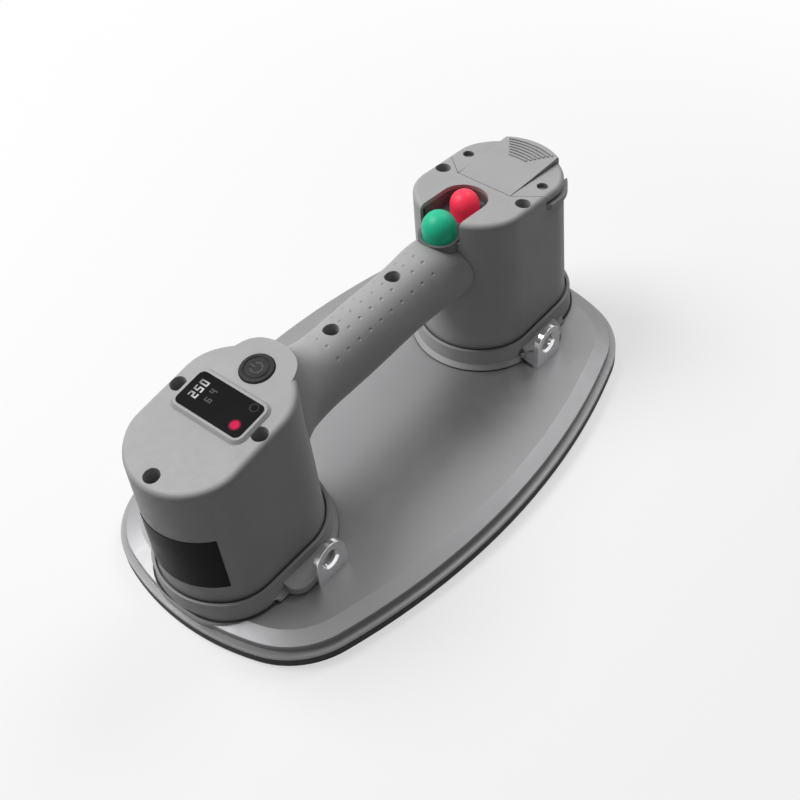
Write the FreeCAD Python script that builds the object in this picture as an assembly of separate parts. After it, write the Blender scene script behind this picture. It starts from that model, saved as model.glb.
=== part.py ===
import FreeCAD, Part
import math
import os

# Battery floor tile suction lifter.
# Frame in millimetres: +Z up, origin on the floor at the middle of the seal,
# +X towards the battery tower, +Y towards the rear of the lifter.
# The battery tower is drawn on the +X side; the display tower is its mirror image.

V = FreeCAD.Vector

# Suction plate outline: long side arc, end arc and corner arc, all tangent
base_half_len = 150.0
base_half_wid = 92.5
base_side_r = 365.0
base_end_r = 140.0
base_corner_r = 47.0

# Seal and plate
seal_height = 6.5
seal_width = 15.0
seal_lip = 1.5
seal_lip_in = 2.5
flange_thick = 2.0
rim_inset = 3.5
rim_height = 4.0
bevel_width = 8.0
bevel_rise = 2.5
plate_thick = 6.0
port_r = 4.0
filter_r = 8.0

# Tower plan: flat sides, round corners, a nose at each end
tower_half_wid = 31.5
tower_corner_r = 24.0
tower_flat_in = 87.0
tower_flat_out = 118.0
tower_nose_in = 59.0
tower_nose_out = 146.5
tower_draft = 1.5
tower_wall = 3.0
tower_tall = 130.0

# Sloping tower tops
top_ref_x = 98.0
top_ref_z = 109.0
top_slope = 0.13
display_lift = 2.5
top_round = 2.8
lid_thick = 2.5
lid_edge = 3.1

# Foot of each tower
gasket_thick = 0.8
gasket_out = 5.6
gasket_in = 5.0
skirt_height = 11.5
skirt_top_out = 2.6
skirt_foot_out = 4.6
skirt_nose_cut = 3.2
bead_out = 7.0
bead_height = 2.6
bead_nose_cut = 5.4
groove_width = 0.9
groove_depth = 2.0

# Foot pads and strap ears
pad_x1 = 111.0
pad_front = 45.0
pad_height = 4.2
pad_corner_r = 8.0
pad_sweep = 18.0
ear_x0 = 79.3
ear_thick = 3.0
ear_width = 20.0
ear_hole_r = 4.75
ear_hole_z = 11.8
ear_sink = 1.2
ear_leg_end = 38.0
ear_leg_thick = 3.0
ear_wing_thick = 2.5
ear_wing_end = 36.4
ear_wing_high = 11.0
ear_wing_drop = 6.0
ear_fit = 0.1

# Handle
grip_half_wid = 16.5
grip_half_high = 19.75
grip_z = 81.75
grip_wall = 3.0
grip_screw_x = 23.0
grip_split_z = 69.5
grip_gap = 0.3
grip_seam_x = 46.0

# Counterbored screws in the tower tops and in the handle
screw_bore_r = 4.1
screw_bore_deep = 9.0
screw_head_r = 3.6
screw_head_high = 3.2
screw_shank_r = 2.0
screw_shank_len = 16.0
grip_shank_len = 24.0
screw_fit = 0.05
screw_boss_r = 5.0
screw_socket_r = 1.5
lid_screw_x = 97.0
lid_screw_y = 26.0
nose_screw_x = 139.5
rail_screw_x = 116.4
rail_screw_y = 24.2
rail_bore_r = 3.05
rail_bore_deep = 2.6
rail_head_r = 2.7
rail_head_high = 1.8
rail_shank_r = 1.3
rail_shank_len = 9.0
rail_boss_r = 2.9

# Screws from under the plate
base_screw_r = 2.4
base_head_r = 4.6
base_head_high = 2.6
ear_screw_r = 2.0
ear_screw_y = 42.0

# Push buttons in their tray
slot_half_wid = 12.5
slot_end_x = 81.5
slot_floor = 101.0
tray_wall = 1.5
tray_floor = 3.0
suction_x = 60.6
suction_r = 9.0
suction_z = 106.4
release_x = 81.7
release_r = 7.7
release_z = 107.4
button_travel = 3.0
button_skirt = 9.0
button_flange = 1.2
button_gap = 0.3
button_wall = 2.0
guide_wall = 1.8
guide_rise = 1.2
guide_floor = 1.5
guide_room = 0.5
stem_r = 2.5
stem_gap = 0.1
spring_r = 4.6
spring_wire = 0.9
spring_turns = 4.0
switch_len = 12.8
switch_wid = 6.0
switch_high = 6.5

# Power key
power_x = 71.0
power_r = 8.5
power_proud = 0.9
power_travel = 1.0
power_deep = 3.0
power_flange = 1.0
power_flange_out = 1.2
power_room_gap = 0.4

# Display
window_x = 95.5
window_len = 20.0
window_wid = 40.5
window_corner = 3.0
window_thick = 1.8
window_sunk = 0.3
window_fit = 0.15
bezel_rim = 1.4
bezel_rise = 1.5
bezel_slope = 1.4
module_inset = 1.5
board_x = 90.0
board_len = 46.0
board_wid = 40.0
board_thick = 1.6
board_drop = 8.0
post_x = 18.0
post_y = 15.0
post_r = 2.5
post_screw_r = 1.0

# Battery pack, its bay and its rails
pack_x0 = 100.0
pack_half_wid = 19.6
pack_neck = 16.8
pack_gap = 0.35
pack_wall = 1.5
ramp_length = 40.0
ramp_start_rise = 0.4
ramp_rise = 3.4
ramp_round = 1.6
bay_wall = 1.0
bay_back = 4.0
rail_thick = 4.2
seam_x = 98.1
seam_gap = 0.3
seam_slant = 9.0 / 11.0
lip_out = 2.0
lip_thick = 3.2
lip_gap = 1.4
lip_half_wid = 24.5
rib_count = 7
rib_pitch = 2.3
rib_wide = 0.9
rib_high = 0.6
rib_half = 14.0
rib_shrink = 1.4
rib_r = 42.0
cell_r = 9.0
cell_len = 65.0
cell_gap = 0.05
contact_z = 60.0
contact_high = 12.0
contact_half = 13.0
blade_y = 8.0
blade_half = 1.0

# Label place on the display tower
label_thick = 0.3
label_glue = 0.05
label_z0 = 39.0
label_z1 = 73.0
label_reach = 12.5
label_end_y = 14.0

# Vacuum parts
pump_x = 112.0
pump_head_len = 38.0
pump_head_wid = 34.0
pump_head_high = 24.0
motor_r = 14.0
motor_len = 42.0
bracket_thick = 2.0
bracket_out = 1.5
bracket_lug = 4.0
bracket_lug_high = 8.0
valve_x = 78.0
valve_r = 7.5
valve_high = 22.0
hose_r = 3.2
harness_r = 2.2
harness_y = 8.6
harness_z = 81.5

# Derived heights
plate_foot = seal_height
flange_z = plate_foot + flange_thick
rim_z = flange_z + rim_height
plate_top = rim_z + bevel_rise
plate_under = plate_top - plate_thick
foot_z = plate_top + gasket_thick
skirt_z = foot_z + skirt_height
guide_foot = slot_floor - button_skirt - button_travel - guide_room - guide_floor
lip_drop = rail_thick + lip_gap + lip_thick
pack_tall = rail_thick + 2 * (pack_gap + pack_wall + cell_gap) + cell_len + 2 * top_slope * cell_r
ramp_x0 = seam_x + seam_gap
ramp_x1 = tower_nose_out - ramp_length
cell_x0 = pack_x0 + pack_wall + cell_gap + cell_r
cell_step = 2 * (cell_r + cell_gap)
far_x = tower_nose_out + 30.0
hose_z = plate_top + bracket_thick + 14.0


def top_z(x):
    """Height of the sloping top at distance x from the middle."""
    return top_ref_z - top_slope * (x - top_ref_x)


def roof(x):
    """Height of the tower top at x; the display tower stands a little higher."""
    return top_z(abs(x)) + (display_lift if x < 0 else 0.0)


def box(x0, x1, y0, y1, z0, z1):
    return Part.makeBox(x1 - x0, y1 - y0, z1 - z0, V(x0, y0, z0))


def rod(x, y, z0, z1, radius):
    return Part.makeCylinder(radius, z1 - z0, V(x, y, z0))


def arc(a, b, c):
    return Part.Arc(a, b, c).toShape()


def mirror_x(shape):
    return shape.mirror(V(0, 0, 0), V(1, 0, 0))


def mirror_y(shape):
    return shape.mirror(V(0, 0, 0), V(0, 1, 0))


def fuse_all(shapes):
    return shapes[0].multiFuse(shapes[1:])


def slab_xz(points, half):
    """Flat XZ outline drawn out along Y, the same distance each way."""
    corners = [V(x, -half, z) for x, z in points]
    wire = Part.makePolygon(corners + corners[:1])
    return Part.Face(wire).extrude(V(0, 2 * half, 0))


# Suction plate


def corner_centre():
    """Centre of the corner arc that touches the end arc and the side arc from inside."""
    end = V(base_half_len - base_end_r, 0, 0)
    side = V(0, base_half_wid - base_side_r, 0)
    r_end = base_end_r - base_corner_r
    r_side = base_side_r - base_corner_r
    link = side.sub(end)
    span = link.Length
    along = (r_end ** 2 - r_side ** 2 + span ** 2) / (2 * span)
    off = math.sqrt(r_end ** 2 - along ** 2)
    unit = link.normalize()
    return end + unit * along + V(-unit.y, unit.x, 0) * off


def plate_outline(inset, z):
    """Closed outline of the suction plate, moved inwards by inset."""
    end = V(base_half_len - base_end_r, 0, 0)
    side = V(0, base_half_wid - base_side_r, 0)
    corner = corner_centre()
    to_end = corner.sub(end).normalize()
    to_side = corner.sub(side).normalize()
    middle = (to_end + to_side).normalize()
    r = base_corner_r - inset
    a = corner + to_end * r
    b = corner + middle * r
    c = corner + to_side * r
    nose = base_half_len - inset
    flank = base_half_wid - inset

    def at(p, sx, sy):
        return V(p.x * sx, p.y * sy, z)

    edges = [
        arc(at(a, 1, -1), V(nose, 0, z), at(a, 1, 1)),
        arc(at(a, 1, 1), at(b, 1, 1), at(c, 1, 1)),
        arc(at(c, 1, 1), V(0, flank, z), at(c, -1, 1)),
        arc(at(c, -1, 1), at(b, -1, 1), at(a, -1, 1)),
        arc(at(a, -1, 1), V(-nose, 0, z), at(a, -1, -1)),
        arc(at(a, -1, -1), at(b, -1, -1), at(c, -1, -1)),
        arc(at(c, -1, -1), V(0, -flank, z), at(c, 1, -1)),
        arc(at(c, 1, -1), at(b, 1, -1), at(a, 1, -1)),
    ]
    return Part.Wire(edges)


def plate_slab(z0, z1, inset0, inset1):
    return Part.makeLoft([plate_outline(inset0, z0), plate_outline(inset1, z1)], True, True)


def tower_screws():
    """Places of the screws that hold both towers to the plate."""
    places = []
    for side in (-1, 1):
        places.append((side * lid_screw_x, lid_screw_y))
        places.append((side * lid_screw_x, -lid_screw_y))
        places.append((side * nose_screw_x, 0.0))
    return places


def ear_screws():
    middle = ear_x0 + ear_width / 2
    return [(sx * middle, sy * ear_screw_y) for sx in (-1, 1) for sy in (-1, 1)]


def ports():
    return (-valve_x, release_x)


def base_plate():
    """Plate with a flange step, an upright rim, a bevel and a seat under each tower."""
    plate = plate_slab(plate_foot, flange_z, 0.0, 0.0)
    plate = plate.fuse(plate_slab(flange_z, rim_z, rim_inset, rim_inset))
    plate = plate.fuse(plate_slab(rim_z, plate_top, rim_inset, rim_inset + bevel_width))
    cut = gasket_out - skirt_foot_out + skirt_nose_cut
    seat = tower_prism(gasket_out, flange_z - 0.5, gasket_out, plate_top, cut, cut)
    plate = fuse_all([plate, seat, mirror_x(seat)]).removeSplitter()
    plate = plate.cut(plate_slab(plate_foot - 1, plate_under, seal_width, seal_width))
    for x, y in tower_screws():
        plate = plate.cut(base_screw_hole(x, y, base_screw_r))
    for x, y in ear_screws():
        plate = plate.cut(base_screw_hole(x, y, ear_screw_r))
    for x in ports():
        plate = plate.cut(rod(x, 0, 0, plate_top + 1, port_r))
    return plate


def suction_seal():
    """Rubber ring: a block under the flange with a chamfered sealing lip."""
    block = plate_slab(seal_lip, plate_foot, 0.0, 0.0)
    lip = plate_slab(0.0, seal_lip, seal_lip_in, 0.0)
    hollow = plate_slab(-1.0, plate_foot + 1, seal_width, seal_width)
    return block.fuse(lip).removeSplitter().cut(hollow)


def port_filter(x):
    disc = rod(x, 0, plate_under - 1.2, plate_under, filter_r)
    for i in range(6):
        turn = math.radians(60 * i)
        disc = disc.cut(rod(x + 3.2 * math.cos(turn), 3.2 * math.sin(turn), 0, plate_top, 0.9))
    return disc


def base_screw(x, y, radius, reach):
    head = rod(x, y, plate_under, plate_under + base_head_high, base_head_r)
    shank = rod(x, y, plate_under, plate_top + reach, radius)
    socket = rod(x, y, plate_under - 1, plate_under + 1.6, 1.8)
    return head.fuse(shank).cut(socket)


def base_screw_hole(x, y, radius):
    head = rod(x, y, plate_under - 9, plate_under + base_head_high, base_head_r + screw_fit)
    return head.fuse(rod(x, y, plate_under, plate_top + 12, radius + screw_fit))


# Tower bodies


def tower_outline(out, z, nose_cut=0.0):
    """Closed plan of the tower, moved outwards by out; nose_cut draws its outer end in."""
    r = tower_corner_r + out
    k = tower_half_wid - tower_corner_r
    y = tower_half_wid + out

    def nose(tip, flat):
        h = abs(tip - flat)
        big = (h * h + k * k - r * r) / (2 * (h - r))
        sign = 1 if tip > flat else -1
        lean = V(flat - tip + sign * big, k, 0).normalize()
        middle = (lean + V(0, 1, 0)).normalize()
        corner = V(flat, k, z)
        return corner + lean * r, corner + middle * r

    def low(p):
        return V(p.x, -p.y, z)

    tip_out = tower_nose_out + out - nose_cut
    tip_in = tower_nose_in - out
    a, b = nose(tip_out, tower_flat_out)
    c, d = nose(tip_in, tower_flat_in)
    e = V(tower_flat_out, y, z)
    f = V(tower_flat_in, y, z)
    edges = [
        arc(low(a), V(tip_out, 0, z), a),
        arc(a, b, e),
        Part.makeLine(e, f),
        arc(f, d, c),
        arc(c, V(tip_in, 0, z), low(c)),
        arc(low(c), low(d), low(f)),
        Part.makeLine(low(f), low(e)),
        arc(low(e), low(b), low(a)),
    ]
    return Part.Wire(edges)


def tower_prism(out0, z0, out1, z1, cut0=0.0, cut1=0.0):
    return Part.makeLoft([tower_outline(out0, z0, cut0), tower_outline(out1, z1, cut1)], True, True)


def tower_form(out):
    """Drafted tower body taller than the real one, moved outwards by out."""
    rate = tower_draft / (top_ref_z - foot_z)
    shrink = rate * (tower_tall - top_ref_z)
    return tower_prism(out + tower_draft, foot_z, out - shrink, tower_tall, tower_draft, 0.0)


def under_top(drop, x0=20.0):
    """Everything below the battery tower's sloping top lowered by drop."""
    points = [(x0, 0.0), (far_x, 0.0), (far_x, top_z(far_x) - drop), (x0, top_z(x0) - drop)]
    return slab_xz(points, 120.0)


def tower_body(lift):
    """Closed tower with its rounded upper edge, its top raised by lift."""
    body = tower_form(0.0).common(under_top(-lift))
    rim = []
    for edge in body.Edges:
        mid = edge.valueAt((edge.FirstParameter + edge.LastParameter) / 2)
        if abs(mid.z - top_z(mid.x) - lift) < 0.01:
            rim.append(edge)
    return body.makeFillet(top_round, rim)


def tower_hollow(lift):
    return tower_form(-tower_wall).common(under_top(lid_thick - lift))


def foot_skirt():
    """Sloping skirt round the tower foot with a bead below and a narrow groove inside its upper edge."""
    ring = tower_prism(skirt_foot_out, foot_z, skirt_top_out + tower_draft, skirt_z, skirt_nose_cut, 2.0)
    bead = tower_prism(bead_out, foot_z, skirt_foot_out - 0.4, foot_z + bead_height, bead_nose_cut, skirt_nose_cut)
    out = tower_draft + groove_width
    groove = tower_prism(out, skirt_z - groove_depth, out, skirt_z + 1, tower_draft, tower_draft)
    return ring.fuse(bead).cut(groove.cut(tower_form(0.0)))


def foot_pad():
    """Pad beside the tower that clamps an ear, swept up into the wall."""
    toe = foot_z + pad_height
    wall = tower_half_wid + tower_draft - 2.0
    start = pad_front - 4.0
    head = toe + pad_sweep
    x0 = ear_x0 + ear_wing_thick + ear_fit
    corners = [
        V(x0, wall - 1.0, foot_z), V(x0, pad_front, foot_z),
        V(x0, pad_front, toe), V(x0, start, toe),
    ]
    bend = V(x0, wall + (start - wall) * 0.22, toe + pad_sweep * 0.28)
    edges = [Part.makeLine(corners[i], corners[i + 1]) for i in range(3)]
    edges.append(arc(corners[3], bend, V(x0, wall, head)))
    edges.append(Part.makeLine(V(x0, wall, head), V(x0, wall - 1.0, head)))
    edges.append(Part.makeLine(V(x0, wall - 1.0, head), corners[0]))
    pad = Part.Face(Part.Wire(edges)).extrude(V(pad_x1 - x0, 0, 0))
    upright = []
    for edge in pad.Edges:
        reach = edge.BoundBox
        thin = reach.XLength < 0.01 and reach.YLength < 0.01
        if thin and reach.XMin > pad_x1 - 0.01 and reach.YMin > pad_front - 0.01:
            upright.append(edge)
    return pad.makeFillet(pad_corner_r, upright)


def tower_foot():
    pad = foot_pad()
    return foot_skirt().fuse(pad).fuse(mirror_y(pad))


# Handle


def grip_stations():
    """Sections along the handle: x, half width, lower and upper height."""
    low = grip_z - grip_half_high
    high = grip_z + grip_half_high
    wid = grip_half_wid
    return [
        (-86.0, wid + 13.0, low - 26.0, high + 33.0),
        (-74.0, wid + 9.5, low - 16.0, high + 31.0),
        (-63.0, wid + 5.5, low - 6.5, high + 28.0),
        (-57.0, wid + 3.2, low - 3.4, high + 22.0),
        (-50.5, wid + 1.4, low - 1.4, high + 9.5),
        (-42.0, wid + 0.3, low - 0.2, high + 2.8),
        (-30.0, wid, low, high + 0.2),
        (0.0, wid, low, high),
        (36.0, wid, low, high),
        (52.0, wid + 0.9, low - 1.0, high + 0.2),
        (66.0, wid + 3.2, low - 3.2, high + 0.4),
    ]


def grip_form(inset):
    """Smooth handle from the display tower to the battery tower, moved inwards by inset."""
    wires = []
    for x, wid, low, high in grip_stations():
        middle = (low + high) / 2
        tall = (high - low) / 2 - inset
        wide = wid - inset
        curve = Part.Ellipse(V(x, 0, middle + tall), V(x, wide, middle), V(x, 0, middle))
        wires.append(Part.Wire([curve.toShape()]))
    return Part.makeLoft(wires, True, False)


def grip_body():
    """Handle trimmed to the tops of the towers."""
    battery_side = under_top(0.0, 8.0)
    display_side = mirror_x(under_top(-display_lift, 8.0))
    cap = fuse_all([battery_side, display_side, box(-10, 10, -120, 120, 0, top_ref_z)])
    return grip_form(0.0).common(cap)


def grip_hollow():
    room = box(-80, tower_nose_in + 5, -40, 40, 0, top_ref_z)
    return grip_form(grip_wall).common(room)


# Screws


def lid_screws():
    display = [(-lid_screw_x, lid_screw_y), (-lid_screw_x, -lid_screw_y), (-nose_screw_x, 0.0)]
    battery = [(lid_screw_x, lid_screw_y), (lid_screw_x, -lid_screw_y)]
    return display, battery


def cap_screw(x, y, top, shank_len):
    """Socket screw sunk in a counterbore below the surface at height top."""
    head_z = top - screw_bore_deep
    seat = head_z - screw_head_high
    head = rod(x, y, seat, head_z, screw_head_r)
    shank = rod(x, y, seat - shank_len, seat, screw_shank_r)
    return head.fuse(shank).cut(rod(x, y, head_z - 2.0, head_z + 1, screw_socket_r))


def cap_screw_hole(x, y, top, shank_len):
    seat = top - screw_bore_deep - screw_head_high
    hole = rod(x, y, seat - shank_len - 1, seat + 1, screw_shank_r + screw_fit)
    return rod(x, y, seat, top + 20, screw_bore_r).fuse(hole)


def rail_screw(x, y):
    head_z = top_z(x) - rail_bore_deep
    seat = head_z - rail_head_high
    head = rod(x, y, seat, head_z, rail_head_r)
    shank = rod(x, y, seat - rail_shank_len, seat, rail_shank_r)
    return head.fuse(shank).cut(rod(x, y, head_z - 1.0, head_z + 1, 1.0))


def rail_screw_hole(x, y):
    seat = top_z(x) - rail_bore_deep - rail_head_high
    hole = rod(x, y, seat - rail_shank_len - 1, seat + 1, rail_shank_r + screw_fit)
    return rod(x, y, seat, top_z(x) + 20, rail_bore_r).fuse(hole)


def bosses():
    """Screw bosses inside the towers and the handle."""
    display, battery = lid_screws()
    found = []
    for x, y in display + battery:
        found.append(rod(x, y, foot_z, roof(x) - 1, screw_boss_r))
    for x in (-grip_screw_x, grip_screw_x):
        found.append(rod(x, 0, grip_z - grip_half_high + 1, grip_z + grip_half_high - 1, screw_boss_r))
    for side in (-1, 1):
        y = side * rail_screw_y
        found.append(rod(rail_screw_x, y, foot_z + 40, top_z(rail_screw_x) - rail_thick, rail_boss_r))
        web = box(rail_screw_x - 1.5, rail_screw_x + 1.5, rail_screw_y, tower_half_wid - 1.5,
                  foot_z + 40, top_z(rail_screw_x) - lip_drop - 0.5)
        found.append(web if side > 0 else mirror_y(web))
    nose_top = top_z(nose_screw_x + screw_boss_r) - pack_tall - bay_wall
    found.append(rod(nose_screw_x, 0, foot_z, nose_top, screw_boss_r))
    return fuse_all(found)


# Outer shells


def shell_body():
    """Both towers and the handle as one hollow moulding with its screw bosses."""
    foot = tower_foot()
    battery_side = tower_body(0.0).fuse(foot)
    display_side = mirror_x(tower_body(display_lift).fuse(foot))
    outer = fuse_all([battery_side, display_side, grip_body()])
    hollow = fuse_all([tower_hollow(0.0), mirror_x(tower_hollow(display_lift)), grip_hollow()])
    return outer.cut(hollow.cut(bosses()))


def cover_zone():
    """Region of the grip cover: display tower top and the handle above its parting line."""
    near = 40.0
    points = [
        (-far_x, roof(-far_x) - lid_edge), (-near, roof(-near) - lid_edge),
        (-near, tower_tall), (-far_x, tower_tall),
    ]
    grip = box(-90, tower_nose_in + 6, -60, 60, grip_split_z, tower_tall)
    grip = grip.cut(mirror_x(tower_form(0.0)))
    return slab_xz(points, 120.0).fuse(grip).cut(tower_form(0.0))


def lid_zone():
    """Region of the battery tower lid."""
    x0 = tower_nose_in - 5.0
    points = [
        (x0, top_z(x0) - lid_edge), (far_x, top_z(far_x) - lid_edge),
        (far_x, tower_tall), (x0, tower_tall),
    ]
    return slab_xz(points, 120.0)


# Battery pack and rails


def seam_zone(shift):
    """Plan behind the V shaped seam where the rails and the ramp begin, moved outwards by shift."""
    x0 = seam_x + shift
    y0 = pack_neck + pack_gap
    far_y = 2 * tower_half_wid
    run = seam_slant * (far_y - y0)
    z = top_z(far_x) - 2 * lip_drop
    points = [
        V(x0, -y0, z), V(x0 + run, -far_y, z), V(far_x, -far_y, z),
        V(far_x, far_y, z), V(x0 + run, far_y, z), V(x0, y0, z), V(x0, -y0, z),
    ]
    return Part.Face(Part.makePolygon(points)).extrude(V(0, 0, tower_tall - z))


def pack_path():
    """Room in which the battery pack slides, open through the outer wall."""
    wide = pack_half_wid + pack_gap
    block = box(pack_x0 - bay_back, far_x, -wide, wide, 0, tower_tall).common(under_top(rail_thick))
    neck = pack_neck + pack_gap
    block = block.fuse(box(seam_x, far_x, -neck, neck, 0, tower_tall))
    return block.cut(under_top(pack_tall))


def rail_room():
    """Space of both rails in the tower: the seam zone down to the foot of the lip."""
    skin = seam_zone(0.0).cut(under_top(rail_thick))
    ring = seam_zone(0.0).cut(under_top(lip_drop)).cut(tower_form(-tower_wall - 1.4))
    return skin.fuse(ring)


def rails():
    """Both rails: a flat shelf beside the ramp and a lip under a gap round the outer end."""
    zone = seam_zone(seam_gap)
    shelf = tower_body(0.0).common(zone).cut(under_top(rail_thick))
    collar = tower_form(0.0).cut(tower_form(-tower_wall - 1.2)).common(zone)
    collar = collar.common(under_top(rail_thick - 0.5)).cut(under_top(lip_drop))
    gap = tower_form(6.0).cut(tower_form(-1.6))
    gap = gap.common(under_top(rail_thick)).cut(under_top(rail_thick + lip_gap))
    lip = tower_form(lip_out).cut(tower_form(-1.0)).common(zone)
    lip = lip.common(under_top(rail_thick + lip_gap)).cut(under_top(lip_drop))
    middle = box(0, far_x, -lip_half_wid, lip_half_wid, 0, tower_tall)
    pair = fuse_all([shelf, collar, lip.cut(middle)]).cut(gap.cut(middle))
    neck = pack_neck + pack_gap
    pair = pair.cut(box(0, far_x, -neck, neck, 0, tower_tall))
    wide = pack_half_wid + 2 * pack_gap
    below = box(0, far_x, -wide, wide, 0, tower_tall).common(under_top(rail_thick))
    pair = pair.cut(below)
    for y in (rail_screw_y, -rail_screw_y):
        pair = pair.cut(rail_screw_hole(rail_screw_x, y))
    return pair


def ramp_z(x):
    """Height of the ramp's upper face."""
    low = top_z(ramp_x1) + ramp_start_rise
    high = top_z(tower_nose_out) + ramp_rise
    return low + (high - low) * (x - ramp_x1) / (tower_nose_out - ramp_x1)


def pack_case():
    """Open topped case that holds the cells, its outer end shaped like the tower wall."""
    case = box(pack_x0, far_x, -pack_half_wid, pack_half_wid, 0, tower_tall)
    case = case.common(under_top(rail_thick + pack_gap + pack_wall)).common(tower_form(0.0))
    case = case.cut(under_top(pack_tall - pack_gap))
    inside = pack_half_wid - pack_wall
    room = box(pack_x0 + pack_wall, far_x, -inside, inside, 0, tower_tall)
    room = room.cut(under_top(pack_tall - pack_gap - pack_wall))
    return case.cut(room.common(tower_form(-pack_wall)))


def cells():
    """Upright round cells, two by two, each standing on the sloping floor of the case."""
    found = []
    for i in (0, 1):
        x = cell_x0 + i * cell_step
        low = top_z(x - cell_r) - pack_tall + pack_gap + pack_wall + cell_gap
        for y in (-cell_step / 2, cell_step / 2):
            found.append(rod(x, y, low, low + cell_len, cell_r))
    return Part.makeCompound(found)


def pack_ramp():
    """Cap of the battery pack: flat shoulders under the rails, ramp between them, thumb ribs."""
    under = rail_thick + pack_gap
    shoulder = box(pack_x0, far_x, -pack_half_wid, pack_half_wid, 0, tower_tall)
    shoulder = shoulder.common(under_top(under)).cut(under_top(under + pack_wall)).common(tower_form(0.0))
    end = tower_nose_out + 6
    profile = [
        (ramp_x0, top_z(ramp_x0) - under - 0.5), (end, top_z(end) - under - 0.5),
        (end, ramp_z(end)), (ramp_x1, ramp_z(ramp_x1)), (ramp_x0, top_z(ramp_x0)),
    ]
    ramp = slab_xz(profile, pack_neck).common(tower_form(0.0))
    edges = []
    for edge in ramp.Edges:
        reach = edge.BoundBox
        if reach.ZMin > top_z(reach.XMin) + ramp_rise / 2 and reach.YLength > 5:
            edges.append(edge)
    ramp = ramp.makeFillet(ramp_round, edges)
    return fuse_all([shoulder, ramp] + [thumb_rib(i) for i in range(rib_count)])


def thumb_rib(i):
    """Curved grip rib across the ramp."""
    x = tower_nose_out - 4.0 - rib_pitch * i
    half = rib_half - rib_shrink * i
    ring = Part.makeCylinder(rib_r, 20, V(x - rib_r, 0, ramp_z(x) - 10))
    ring = ring.cut(Part.makeCylinder(rib_r - rib_wide, 20, V(x - rib_r, 0, ramp_z(x) - 10)))
    profile = [
        (x - 8, ramp_z(x - 8) - 0.5), (x + 1, ramp_z(x + 1) - 0.5),
        (x + 1, ramp_z(x + 1) + rib_high), (x - 8, ramp_z(x - 8) + rib_high),
    ]
    return ring.common(slab_xz(profile, half))


def battery_bay():
    """Thin liner that the pack slides in: floor, two cheeks and an inner end wall."""
    wide = pack_half_wid + pack_gap
    out = wide + bay_wall
    x0 = pack_x0 - bay_back
    tray = box(x0 - bay_wall, far_x, -out, out, 0, tower_tall).cut(under_top(pack_tall + bay_wall))
    room = box(x0, far_x, -wide, wide, 0, tower_tall).cut(under_top(pack_tall))
    low = slot_floor - tray_floor - 0.5
    bay = tray.cut(room).common(box(0, far_x, -out, out, 0, low)).common(under_top(lip_drop + 1.0))
    bay = bay.common(tower_form(-tower_wall - 0.1))
    for y in (-blade_y, blade_y):
        half = blade_half + 0.1
        bay = bay.cut(box(x0 - 2 * bay_wall, x0 + 1, y - half, y + half, contact_z + 1.9, contact_z + contact_high - 1.9))
    return bay


def battery_contacts():
    """Contact block on the inner end of the bay with two blades that touch the pack."""
    x0 = pack_x0 - bay_back - bay_wall
    top = contact_z + contact_high
    block = box(x0 - 4.0, x0, -contact_half, contact_half, contact_z, top)
    half = blade_half
    blades = [box(x0 - 1, pack_x0 - 0.1, y - half, y + half, contact_z + 2, top - 2) for y in (-blade_y, blade_y)]
    return fuse_all([block] + blades)


# Push buttons


def slot_plan(grow, z0, z1):
    """Slot with one round end, open towards the handle, grown by grow."""
    wide = slot_half_wid + grow
    run = box(tower_nose_in - 14, slot_end_x, -wide, wide, z0, z1)
    return run.fuse(rod(slot_end_x, 0, z0, z1, wide))


def guide_outer(x, radius, grow):
    """Outside of a button guide, wider at its foot to take the button's flange."""
    neck = radius + button_gap + guide_wall + grow
    foot = neck + button_flange
    step = slot_floor - tray_floor - 4.0
    cone = Part.makeCone(foot, neck, foot - neck, V(x, 0, step))
    return fuse_all([rod(x, 0, guide_foot, step, foot), cone, rod(x, 0, step, slot_floor, neck)])


def guide_bore(x, radius):
    wide = radius + button_gap
    floor = guide_foot + guide_floor
    bore = rod(x, 0, floor, slot_floor + 10, wide)
    foot = rod(x, 0, floor, slot_floor - button_skirt + button_flange + 0.2, wide + button_flange)
    return fuse_all([bore, foot, rod(x, 0, guide_foot - 1, slot_floor, stem_r + stem_gap)])


def button_tray():
    """Tray below the slot: floor, side walls, two button guides and a clip for the switch."""
    shell = slot_plan(tray_wall, slot_floor - tray_floor, 150)
    shell = shell.cut(slot_plan(0.0, slot_floor, 151))
    shell = shell.common(under_top(lid_thick + 0.15)).common(tower_form(-tower_wall - 0.1))
    cup = guide_outer(suction_x, suction_r, 0.0)
    cup = cup.fuse(rod(suction_x, 0, slot_floor - 1, slot_floor + guide_rise,
                       suction_r + button_gap + guide_wall))
    tube = guide_outer(release_x, release_r, 0.0)
    tray = fuse_all([shell, cup, tube])
    tray = tray.cut(guide_bore(suction_x, suction_r)).cut(guide_bore(release_x, release_r))
    low = guide_foot - button_travel - 1.0 - switch_high
    cheek = box(suction_x - 5, suction_x + 5, switch_wid / 2 + 0.1, switch_wid / 2 + 1.7, low, guide_foot)
    return fuse_all([tray, cheek, mirror_y(cheek)])


def push_button(x, radius, centre_z, stem_foot):
    """Ball headed hollow button with a retaining flange and a central stem."""
    foot = slot_floor - button_skirt
    head = Part.makeSphere(radius, V(x, 0, centre_z)).common(box(x - 20, x + 20, -20, 20, centre_z, 150))
    skirt = rod(x, 0, foot, centre_z, radius)
    flange = rod(x, 0, foot, foot + button_flange, radius + button_flange)
    roof = centre_z - 2.0
    room = rod(x, 0, foot - 1, roof, radius - button_wall)
    stem = rod(x, 0, stem_foot, roof + 0.5, stem_r)
    return fuse_all([head, skirt, flange]).removeSplitter().cut(room).fuse(stem)


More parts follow.
